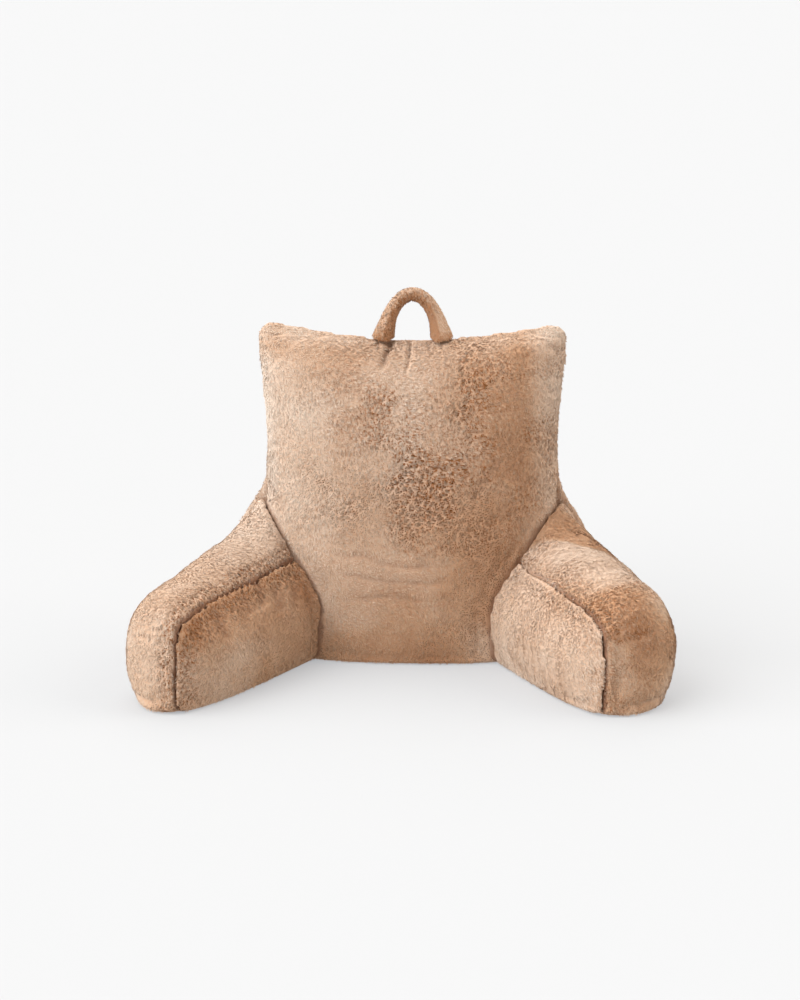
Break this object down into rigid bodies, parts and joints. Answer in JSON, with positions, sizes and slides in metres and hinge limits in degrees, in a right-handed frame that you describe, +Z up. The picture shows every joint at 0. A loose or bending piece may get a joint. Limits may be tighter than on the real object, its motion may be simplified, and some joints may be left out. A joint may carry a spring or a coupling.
{
  "type": "reading pillow with arms",
  "caption": "Plush reading pillow, firmly filled: a crowned back with raised upper corners, rounded arms that reach forward and a padded carrying loop in the top seam.",
  "frame": {"origin": "on the floor, under the middle of the pillow's box", "axes": "+Z up; the front panel and the arms face -Y; +X is to the right when the front is looked at"},
  "size_m": [0.7284, 0.4534, 0.5005],
  "materials": {
    "plush": "short dense plush pile, matte"
  },
  "bodies": {
    "root": {"back_front": "plush", "back_rear": "plush", "arm_left_inner": "plush", "arm_left_outer": "plush", "arm_right_inner": "plush", "arm_right_outer": "plush", "handle": "plush"}
  },
  "joints": []
}
